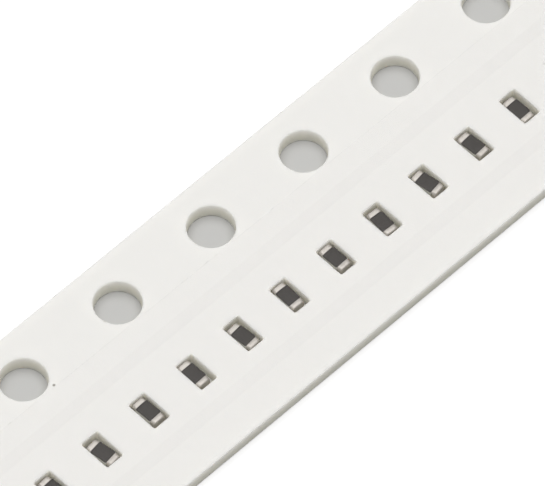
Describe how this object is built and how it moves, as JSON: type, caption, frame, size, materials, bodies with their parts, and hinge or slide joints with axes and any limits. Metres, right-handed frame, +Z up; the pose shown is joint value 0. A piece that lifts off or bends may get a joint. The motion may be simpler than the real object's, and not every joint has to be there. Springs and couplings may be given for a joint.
{
  "type": "component carrier tape strip",
  "caption": "Short strip of punched paper carrier tape: a row of round feed holes beside a row of pockets, each with a tiny chip resistor under a clear film.",
  "frame": {"origin": "bottom centre of the strip", "axes": "+X along the tape, +Y across it towards the sprocket holes, +Z up out of the pockets"},
  "size_m": [0.028, 0.0078, 0.0006],
  "materials": {
    "paper": "matte white carrier board",
    "bottom_film": "thin white tape",
    "clear_film": "clear glossy film",
    "ceramic": "white alumina",
    "overcoat": "dark fired glaze, satin",
    "tin_plating": "matte tin"
  },
  "bodies": {
    "root": {"carrier_tape": "paper", "bottom_cover_tape": "bottom_film", "top_cover_tape": "clear_film", "chip_01_substrate": "ceramic", "chip_01_overcoat": "overcoat", "chip_01_left_termination": "tin_plating", "chip_01_right_termination": "tin_plating", "chip_02_substrate": "ceramic", "chip_02_overcoat": "overcoat", "chip_02_left_termination": "tin_plating", "chip_02_right_termination": "tin_plating", "chip_03_substrate": "ceramic", "chip_03_overcoat": "overcoat", "chip_03_left_termination": "tin_plating", "chip_03_right_termination": "tin_plating", "chip_04_substrate": "ceramic", "chip_04_overcoat": "overcoat", "chip_04_left_termination": "tin_plating", "chip_04_right_termination": "tin_plating", "chip_05_substrate": "ceramic", "chip_05_overcoat": "overcoat", "chip_05_left_termination": "tin_plating", "chip_05_right_termination": "tin_plating", "chip_06_substrate": "ceramic", "chip_06_overcoat": "overcoat", "chip_06_left_termination": "tin_plating", "chip_06_right_termination": "tin_plating", "chip_07_substrate": "ceramic", "chip_07_overcoat": "overcoat", "chip_07_left_termination": "tin_plating", "chip_07_right_termination": "tin_plating", "chip_08_substrate": "ceramic", "chip_08_overcoat": "overcoat", "chip_08_left_termination": "tin_plating", "chip_08_right_termination": "tin_plating", "chip_09_substrate": "ceramic", "chip_09_overcoat": "overcoat", "chip_09_left_termination": "tin_plating", "chip_09_right_termination": "tin_plating", "chip_10_substrate": "ceramic", "chip_10_overcoat": "overcoat", "chip_10_left_termination": "tin_plating", "chip_10_right_termination": "tin_plating", "chip_11_substrate": "ceramic", "chip_11_overcoat": "overcoat", "chip_11_left_termination": "tin_plating", "chip_11_right_termination": "tin_plating", "chip_12_substrate": "ceramic", "chip_12_overcoat": "overcoat", "chip_12_left_termination": "tin_plating", "chip_12_right_termination": "tin_plating", "chip_13_substrate": "ceramic", "chip_13_overcoat": "overcoat", "chip_13_left_termination": "tin_plating", "chip_13_right_termination": "tin_plating", "chip_14_substrate": "ceramic", "chip_14_overcoat": "overcoat", "chip_14_left_termination": "tin_plating", "chip_14_right_termination": "tin_plating"}
  },
  "joints": []
}
